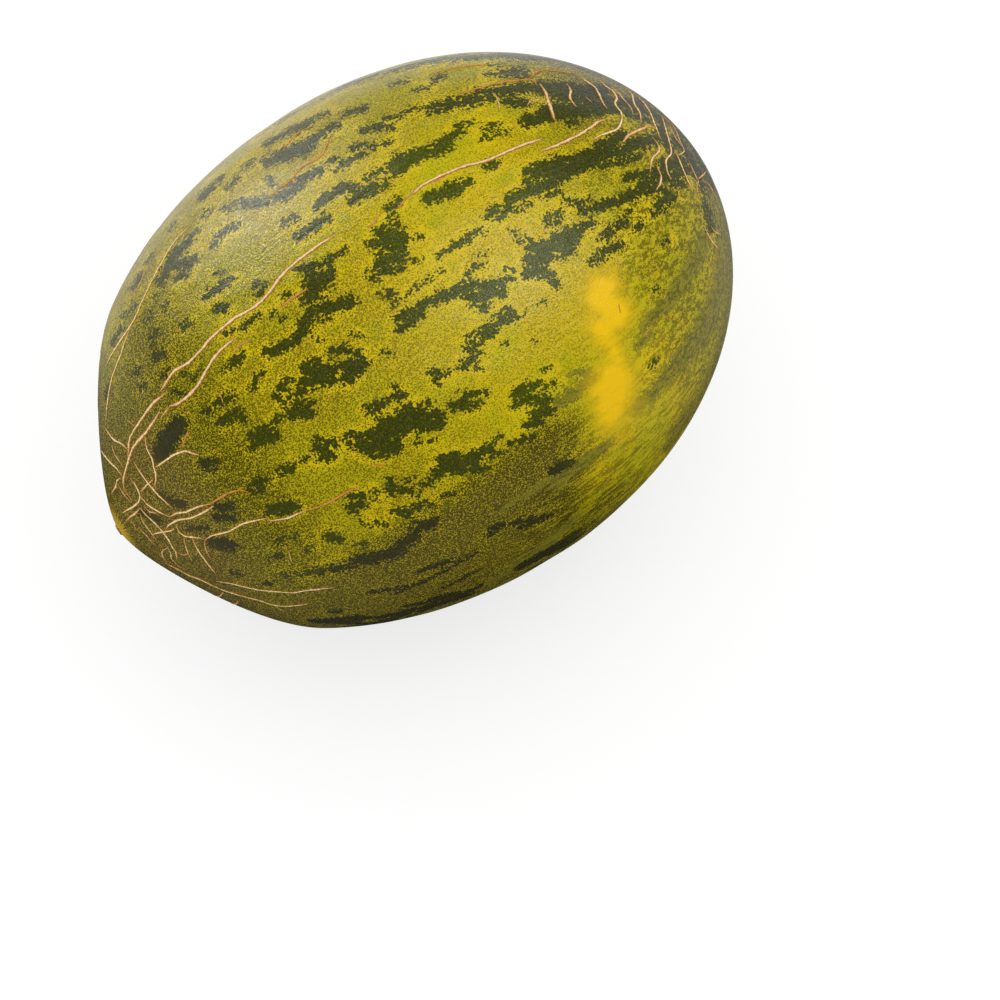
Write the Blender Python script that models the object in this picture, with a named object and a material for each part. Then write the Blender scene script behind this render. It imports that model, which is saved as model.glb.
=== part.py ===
"""A whole winter melon with mottled rind, lying on its side on a small flat spot.

The fruit grew as one piece, so it is one solid: a turned rind with faint lobes, a scar button
on its pointed end, a corky stem scar in a shallow dimple on its blunt end, and the raised cork
net that runs over both ends. Metres, +Z up, the origin on the surface under the fruit's middle.

Two sets of coordinates are used. The fruit's own axes have +X along its axis, from the pointed
end to the blunt one, with the origin halfway. A place on the rind is a station, the distance
from the pointed end along the axis, and an angle round it, 0 on top and growing towards -Y.
"""
import math
import random

import bmesh
import bpy
from mathutils import Matrix, Vector

# The rind
LENGTH = 0.235
DIAMETER = 0.175
WIDEST_AT = 0.522 * LENGTH
ROUNDNESS = 2.05
TIP_START_RADIUS = 0.013
TIP_SLOPE = 2.05
TIP_BLEND = 0.030
LOBES = 10
LOBE_DEPTH = 0.0005
LOBE_TURN = 0.6
OUT_OF_ROUND = 0.0006
OUT_OF_ROUND_TURN = 1.1

# How it lies
TILT = math.radians(6.0)
FLAT_DEPTH = 0.0010

# The two scars
BUTTON_RADIUS = 0.0022
BUTTON_HEIGHT = 0.0007
BUTTON_TOP_SHARE = 0.9
STEM_SCAR_RADIUS = 0.0060
STEM_SCAR_HEIGHT = 0.0008
STEM_SCAR_TOP_SHARE = 0.85
DIMPLE_RADIUS = 0.0170
DIMPLE_DEPTH = 0.0020
# The dimple's lip: share of its radius, and height beyond its rim
DIMPLE_LIP = ((1.0, 0.0), (0.8, 0.0006), (0.58, -0.0004))

# The cork net
CORK_HALF_WIDTH = 0.0011
CORK_HALF_HEIGHT = 0.0009
CORK_SUNK = 0.0003
CORK_STEP = 0.0085
CORK_END_SHARE = 0.45
FAR_SIDE_SEED = 41
TIP_LINES = 13
TIP_LINES_START = 0.012
STEM_LINES = 15
STEM_LINES_START = 0.010
START_SPREAD = 0.022
FAR_SIDE_FROM = 118
FAR_SIDE_SPAN = 172
KNOTS = (3, 7)
KNOT_STEPS = (0.007, 0.011)
KNOT_STEP = 0.009
FIRST_DRIFT = 0.35
DRIFT_KEPT = 0.6
DRIFT_CHANGE = 0.3
LEAST_RADIUS = 0.02

# How finely the solid is faceted
RIND_SIDES = 56
RIND_BANDS = 30

# How finely a place on the rind is looked for
STATION_STEP = 1e-5
REACH_STEPS = 400
SEARCH_REACH = 0.14
SEARCH_STEP = 0.0005

# The picture plane that the near side's cork lines are listed in: 1000 pixels square, seen from
# in front, above and a little towards the pointed end
SIGHT_AZIMUTH = math.radians(-30.2)
SIGHT_ELEVATION = math.radians(63.4)
SIGHT_DISTANCE = 1.25
PIXEL = 0.000340
FRUIT_MIDDLE_PIXEL = (418.3, 338.4)
PICTURE_MIDDLE = 500.0

# Each line is a list of (across, down) pixels. The ends of a line stay thin.
CORK_LINES_SEEN = [
    # the long pair from the shoulder down to the pointed end
    [(336, 236), (303, 258), (270, 293), (236, 318), (203, 349), (166, 385), (134, 432), (125, 478),
     (131, 500)],
    [(234, 340), (205, 376), (171, 406), (147, 434), (130, 461), (126, 474)],
    # up the upper-left flank
    [(192, 226), (165, 260), (145, 298), (122, 340), (107, 367)],
    [(131, 329), (116, 369), (106, 423), (117, 470), (123, 477)],
    [(321, 157), (303, 168), (288, 184), (270, 197)],
    # round the pointed end
    [(145, 437), (153, 460), (156, 491)],
    [(134, 461), (149, 484), (169, 517), (197, 507), (230, 492)],
    [(156, 467), (176, 455), (199, 455)],
    [(130, 478), (140, 497), (124, 512)],
    [(140, 509), (160, 527), (176, 559)],
    [(166, 528), (190, 517), (214, 506)],
    [(152, 534), (177, 528), (206, 540), (252, 521), (307, 511), (350, 491)],
    [(193, 538), (212, 570)],
    [(165, 563), (207, 582), (239, 595), (278, 606), (309, 604)],
    [(216, 581), (258, 590), (294, 593), (334, 588)],
    [(101, 450), (109, 461), (119, 473)],
    [(123, 478), (116, 487), (111, 496)],
    [(142, 498), (152, 509), (168, 516)],
    [(184, 537), (192, 561)],
    [(206, 540), (211, 560)],
    [(187, 430), (182, 448)],
    # along the top
    [(399, 210), (433, 184), (485, 162), (525, 145), (576, 137), (606, 120)],
    [(459, 96), (496, 84), (556, 72), (590, 82), (606, 108)],
    # over the blunt end
    [(541, 86), (550, 110), (554, 120)],
    [(566, 85), (572, 92), (575, 106)],
    [(615, 89), (624, 100), (633, 114)],
    [(599, 80), (620, 113), (601, 135)],
    [(627, 88), (641, 124)],
    [(641, 99), (655, 130), (659, 153), (650, 172)],
    [(652, 127), (628, 135), (622, 144)],
    [(662, 121), (671, 153), (671, 178)],
    [(677, 155), (692, 193)],
    [(688, 157), (697, 180), (706, 171)],
    [(657, 167), (661, 180), (657, 190)],
    [(704, 228), (717, 249)],
    [(711, 222), (724, 237)],
]


def rind_radius(station):
    """Radius of the turned rind: an oval, drawn in to a cone towards the pointed end."""
    far = LENGTH - WIDEST_AT
    share = (WIDEST_AT - station) / WIDEST_AT if station < WIDEST_AT else (station - WIDEST_AT) / far
    oval = DIAMETER / 2 * math.sqrt(max(0.0, 1 - abs(share) ** ROUNDNESS))
    cone = TIP_START_RADIUS + TIP_SLOPE * station
    mix = min(1.0, max(0.0, 0.5 + 0.5 * (cone - oval) / TIP_BLEND))
    return max(0.0, cone * (1 - mix) + oval * mix - TIP_BLEND * mix * (1 - mix))


def swell(station, angle):
    """Faint lobes and the fruit's slight out-of-roundness, gone at both ends."""
    middle = math.sin(math.pi * min(1.0, max(0.0, station / LENGTH)))
    lobes = LOBE_DEPTH * (math.cos(LOBES * angle + LOBE_TURN) - 1) / 2
    return middle * (lobes + OUT_OF_ROUND * math.cos(2 * angle + OUT_OF_ROUND_TURN))


def on_rind(station, angle, proud=0.0):
    """A point in the fruit's own axes, above the rind by the height given."""
    radius = rind_radius(station) + swell(station, angle) + proud
    return Vector((station - LENGTH / 2, -radius * math.sin(angle), radius * math.cos(angle)))


def rind_normal(station, angle):
    """The way out of the rind at a place on it."""
    small = 0.0005
    slope = (rind_radius(station + small) - rind_radius(station - small)) / (2 * small)
    return Vector((-slope, -math.sin(angle), math.cos(angle))).normalized()


def station_where(radius, from_station, step):
    """The first station, from one end inwards, where the rind is as wide as the radius given."""
    station = from_station
    while rind_radius(station) < radius:
        station += step
    return station


def reach(direction):
    """How far the smooth rind reaches from mid-axis, by the direction's angle above +X."""
    end = station_where(DIMPLE_RADIUS, LENGTH, -STATION_STEP)
    stations = [end * step / REACH_STEPS for step in range(REACH_STEPS + 1)]
    return max((station - LENGTH / 2) * math.cos(direction) + rind_radius(station) * abs(math.sin(direction))
               for station in stations)


def resting_place():
    """Turns the fruit's own axes to how it lies: pointed end down, the flat spot on Z = 0."""
    right, left = reach(-TILT), reach(math.pi - TILT)
    height = reach(-math.pi / 2 - TILT) - FLAT_DEPTH
    return Matrix.Translation(((left - right) / 2, 0, height)) @ Matrix.Rotation(-TILT, 4, "Y")


def sight_line(pixel):
    """Where the picture's eye is, and the way it looks through a pixel, in the fruit's own axes."""
    back = Vector((math.sin(SIGHT_AZIMUTH) * math.cos(SIGHT_ELEVATION),
                   -math.cos(SIGHT_AZIMUTH) * math.cos(SIGHT_ELEVATION),
                   math.sin(SIGHT_ELEVATION)))
    eye = back * SIGHT_DISTANCE
    across = Vector((0, 0, 1)).cross(back).normalized()
    above = back.cross(across)
    offset = (PICTURE_MIDDLE - FRUIT_MIDDLE_PIXEL[0], FRUIT_MIDDLE_PIXEL[1] - PICTURE_MIDDLE)
    ahead = (across * offset[0] * PIXEL + above * offset[1] * PIXEL - eye).normalized()
    across = ahead.cross(Vector((0, 0, 1))).normalized()
    above = across.cross(ahead)
    focal = SIGHT_DISTANCE / PIXEL
    way = ahead * focal + across * (pixel[0] - PICTURE_MIDDLE) - above * (pixel[1] - PICTURE_MIDDLE)
    own = Matrix.Rotation(TILT, 3, "Y")
    return own @ eye, (own @ way).normalized()


def seen_at(pixel):
    """The station and angle that a pixel sees, or where its sight line passes nearest the rind."""
    eye, way = sight_line(pixel)
    nearest, place = 1.0, None
    for step in range(round(2 * SEARCH_REACH / SEARCH_STEP) + 1):
        point = eye + way * (SIGHT_DISTANCE - SEARCH_REACH + step * SEARCH_STEP)
        station = min(LENGTH, max(0.0, point.x + LENGTH / 2))
        clear = math.hypot(point.y, point.z) - rind_radius(station) + abs(point.x + LENGTH / 2 - station)
        if clear < nearest:
            nearest, place = clear, (station, math.atan2(-point.y, point.z))
        if clear < 0:
            break
    return place


def far_side_lines():
    """Cork lines on the side away from the picture: they start near an end and wander inwards."""
    draws = random.Random(FAR_SIDE_SEED)
    lines = []
    ends = ((TIP_LINES, TIP_LINES_START, 1), (STEM_LINES, LENGTH - STEM_LINES_START, -1))
    for count, first_station, inwards in ends:
        for number in range(count):
            angle = math.radians(FAR_SIDE_FROM + FAR_SIDE_SPAN * (number + draws.uniform(0.2, 0.8)) / count)
            station = first_station + inwards * draws.uniform(0.0, START_SPREAD)
            drift = draws.uniform(-FIRST_DRIFT, FIRST_DRIFT)
            line = [(station, angle)]
            for _ in range(draws.randint(*KNOTS)):
                station += inwards * draws.uniform(*KNOT_STEPS)
                drift = DRIFT_KEPT * drift + draws.uniform(-DRIFT_CHANGE, DRIFT_CHANGE)
                angle += drift * KNOT_STEP / max(LEAST_RADIUS, rind_radius(station))
                line.append((station, angle))
            lines.append(line)
    return lines


def curve_through(knots):
    """Points a cork step apart on a smooth curve through the knots."""
    ends = [knots[0] * 2 - knots[1]] + knots + [knots[-1] * 2 - knots[-2]]
    points = [knots[0]]
    for before, start, end, after in zip(ends, ends[1:], ends[2:], ends[3:]):
        pieces = max(1, round((end - start).length / CORK_STEP))
        for piece in range(1, pieces + 1):
            t = piece / pieces
            points.append(0.5 * (2 * start + (end - before) * t
                                 + (2 * before - 5 * start + 4 * end - after) * t ** 2
                                 + (3 * start - 3 * end + after - before) * t ** 3))
    return points


def cork_ridge(name, line, place):
    """One raised cork line: a lozenge drawn along the rind, half sunk in it, thin at both ends."""
    points = curve_through([on_rind(station, angle) for station, angle in line])
    bm = bmesh.new()
    bmesh.ops.create_circle(bm, cap_ends=True, segments=4, radius=1.0)
    front = bm.faces[:]
    ring = list(front[0].verts)
    corners = [vert.co.copy() for vert in ring]
    for number, point in enumerate(points):
        station = min(LENGTH - 0.001, max(0.001, point.x + LENGTH / 2))
        angle = math.atan2(-point.y, point.z)
        out = rind_normal(station, angle)
        onward = points[min(number + 1, len(points) - 1)] - points[max(number - 1, 0)]
        side = onward.cross(out).normalized()
        at_end = number in (0, len(points) - 1)
        size = CORK_END_SHARE if at_end else 1.0
        middle = on_rind(station, angle, -CORK_SUNK * size)
        if number:
            moved = bmesh.ops.extrude_face_region(bm, geom=front)["geom"]
            if number > 1:
                bmesh.ops.delete(bm, geom=front, context="FACES_ONLY")
            front = [item for item in moved if isinstance(item, bmesh.types.BMFace)]
            ring = nearest_order(list(front[0].verts), ring)
        for vert, corner in zip(ring, corners):
            vert.co = middle + size * (side * corner.x * CORK_HALF_WIDTH + out * corner.y * CORK_HALF_HEIGHT)
    bmesh.ops.recalc_face_normals(bm, faces=bm.faces)
    return mesh_object(name, bm, place)


def nearest_order(verts, ring):
    """The verts in the order of the ring that they still lie on."""
    return [min(verts, key=lambda vert: (vert.co - old.co).length) for old in ring]


def mesh_object(name, bm, place):
    """Makes an object of a bmesh, with its shape at the place given."""
    bm.transform(place)
    mesh = bpy.data.meshes.new(name)
    bm.to_mesh(mesh)
    bm.free()
    made = bpy.data.objects.new(name, mesh)
    bpy.context.scene.collection.objects.link(made)
    return made


def rind_outline():
    """Half the fruit's outline from the scar button to the stem scar, as (station, radius)."""
    seat = station_where(BUTTON_RADIUS, 0.0, STATION_STEP)
    rim = station_where(DIMPLE_RADIUS, LENGTH, -STATION_STEP)
    outline = [(seat - BUTTON_HEIGHT, 0.0), (seat - BUTTON_HEIGHT, BUTTON_RADIUS * BUTTON_TOP_SHARE),
               (seat, BUTTON_RADIUS)]
    for band in range(1, RIND_BANDS):
        turn = 0.5 - 0.5 * math.cos(math.pi * band / RIND_BANDS)
        station = seat + (rim - seat) * turn
        outline.append((station, rind_radius(station)))
    outline += [(rim + beyond, DIMPLE_RADIUS * share) for share, beyond in DIMPLE_LIP]
    floor = rim - DIMPLE_DEPTH
    top = floor + STEM_SCAR_HEIGHT
    outline += [(floor, STEM_SCAR_RADIUS), (top, STEM_SCAR_RADIUS * STEM_SCAR_TOP_SHARE), (top, 0.0)]
    return outline


def rind(place):
    """The turned rind with its lobes, cut to a small flat spot where it rests."""
    bm = bmesh.new()
    verts = [bm.verts.new((station - LENGTH / 2, 0, radius)) for station, radius in rind_outline()]
    edges = [bm.edges.new(pair) for pair in zip(verts, verts[1:])]
    bmesh.ops.spin(bm, geom=verts + edges, cent=(0, 0, 0), axis=(1, 0, 0), angle=2 * math.pi,
                   steps=RIND_SIDES, use_merge=True)
    bmesh.ops.remove_doubles(bm, verts=bm.verts, dist=1e-6)
    for vert in bm.verts:
        radius = math.hypot(vert.co.y, vert.co.z)
        if radius > BUTTON_RADIUS * 1.5:
            angle = math.atan2(-vert.co.y, vert.co.z)
            vert.co.yz *= 1 + swell(vert.co.x + LENGTH / 2, angle) / radius
    bmesh.ops.recalc_face_normals(bm, faces=bm.faces)
    bm.transform(place)
    cut = bmesh.ops.bisect_plane(bm, geom=bm.verts[:] + bm.edges[:] + bm.faces[:], dist=1e-7,
                                 plane_co=(0, 0, 0), plane_no=(0, 0, -1), clear_outer=True)
    rim = [item for item in cut["geom_cut"] if isinstance(item, bmesh.types.BMEdge)]
    bmesh.ops.contextual_create(bm, geom=rim)
    bmesh.ops.recalc_face_normals(bm, faces=bm.faces)
    return mesh_object("melon", bm, Matrix())


def rind_material():
    """Yellow-green rind with a soft natural gloss."""
    material = bpy.data.materials.new("rind")
    material.use_nodes = True
    shader = material.node_tree.nodes["Principled BSDF"]
    shader.inputs["Base Color"].default_value = (0.20, 0.17, 0.03, 1)
    shader.inputs["Roughness"].default_value = 0.42
    shader.inputs["Metallic"].default_value = 0.0
    return material


def fuse(body, ridges):
    """Joins the ridges to the body as one solid and removes their objects."""
    net = bpy.data.collections.new("cork net")
    bpy.context.scene.collection.children.link(net)
    for ridge in ridges:
        bpy.context.scene.collection.objects.unlink(ridge)
        net.objects.link(ridge)
    union = body.modifiers.new("cork net", "BOOLEAN")
    union.operation = "UNION"
    union.operand_type = "COLLECTION"
    union.collection = net
    union.solver = "EXACT"
    depsgraph = bpy.context.evaluated_depsgraph_get()
    joined = bpy.data.meshes.new_from_object(body.evaluated_get(depsgraph))
    body.modifiers.clear()
    body.data = joined
    for ridge in ridges:
        bpy.data.objects.remove(ridge, do_unlink=True)
    bpy.data.collections.remove(net)


def build():
    for old in list(bpy.data.objects):
        bpy.data.objects.remove(old, do_unlink=True)
    place = resting_place()
    lines = [[seen_at(pixel) for pixel in line] for line in CORK_LINES_SEEN] + far_side_lines()
    ridges = [cork_ridge(f"cork_{number}", line, place) for number, line in enumerate(lines)]
    melon = rind(place)
    fuse(melon, ridges)
    melon.data.materials.clear()
    melon.data.materials.append(rind_material())
    melon.data.shade_smooth()
    melon.data.set_sharp_from_angle(angle=math.radians(40))


build()
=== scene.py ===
"""The looks of a whole winter melon: its mottled rind, the cork net over it and its two scars.

Metres, +Z up. The fruit's own axes have +X along its axis, from the pointed end to the blunt one,
with the origin halfway. A place on the rind is a station, the distance from the pointed end along
the axis, and an angle round it, 0 on top and growing towards -Y.
"""
import math
import random

import bmesh
import bpy
import numpy as np
from mathutils import Matrix, Vector


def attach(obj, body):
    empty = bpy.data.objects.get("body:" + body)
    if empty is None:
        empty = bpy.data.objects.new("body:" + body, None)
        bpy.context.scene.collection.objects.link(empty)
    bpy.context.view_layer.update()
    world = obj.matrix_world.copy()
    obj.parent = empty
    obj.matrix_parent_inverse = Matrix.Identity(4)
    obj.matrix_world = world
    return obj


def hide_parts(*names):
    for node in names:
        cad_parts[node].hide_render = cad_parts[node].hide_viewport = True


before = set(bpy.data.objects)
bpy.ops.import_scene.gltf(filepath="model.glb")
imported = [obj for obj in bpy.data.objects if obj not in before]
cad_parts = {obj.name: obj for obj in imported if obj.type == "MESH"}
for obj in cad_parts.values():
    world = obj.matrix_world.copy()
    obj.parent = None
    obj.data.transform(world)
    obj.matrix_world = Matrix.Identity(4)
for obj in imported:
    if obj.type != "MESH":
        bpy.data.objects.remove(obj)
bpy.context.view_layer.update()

MILLIMETRE = 0.001

# The rind's shape
LENGTH = 0.235
DIAMETER = 0.175
WIDEST_AT = 0.522 * LENGTH
ROUNDNESS = 2.05
TIP_START_RADIUS = 0.013
TIP_SLOPE = 2.05
TIP_BLEND = 0.030
LOBES = 10
LOBE_DEPTH = 0.0005
LOBE_TURN = 0.6
OUT_OF_ROUND = 0.0006
OUT_OF_ROUND_TURN = 1.1
# Faint furrows from end to end: waves round the fruit and each one's depth, and how they wander
FURROWS = ((17, 0.00007), (23, 0.00006), (31, 0.00005), (43, 0.00003))
FURROW_WANDER = 9.0
TILT = math.radians(6.0)
FLAT_DEPTH = 0.0010
# The seat of the scar button: its radius, its depth and the share of the radius that is level
BUTTON_RADIUS = 0.0022
SEAT_DEPTH = 0.0002
SEAT_SHARE = 0.8
# Up to this radius the rind has no lobes
EVEN_UP_TO = 1.5 * BUTTON_RADIUS
# The dimple round the stem: its lip from rim to floor, how far beyond the rim and at what share of
# its radius
DIMPLE_RADIUS = 0.0170
DIMPLE_DEPTH = 0.0020
DIMPLE_LIP = ((0.0, 1.0), (0.0005, 0.90), (0.0007, 0.80), (0.0004, 0.69), (-0.0003, 0.58),
              (-0.0011, 0.48), (-0.0017, 0.40), (-DIMPLE_DEPTH, 0.33), (-DIMPLE_DEPTH, 0.0))
# How finely it is faceted and looked over, and how near points are one or lie on a cut
RIND_SIDES = 372
RIND_BANDS = 242
STATION_STEP = 1e-5
REACH_STATIONS = 401
SEARCH_REACH = 0.14
SEARCH_STEPS = 561
SLOPE_STEP = 0.0005
ONE_POINT = 1e-6
ON_THE_CUT = 1e-7

# The picture plane that the markings are listed in: 1000 pixels square, seen from in front, above
# and a little towards the pointed end
SIGHT_AZIMUTH = math.radians(-30.2)
SIGHT_ELEVATION = math.radians(63.4)
SIGHT_DISTANCE = 1.25
PIXEL = 0.000340
FRUIT_MIDDLE_PIXEL = (418.3, 338.4)
PICTURE_MIDDLE = 500.0
PICTURE_SIZE = 1000
SENSOR_WIDTH = 36.0
# The level way towards the picture's right edge
RIGHTWARDS = (0.86, -0.50, 0.0)

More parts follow.
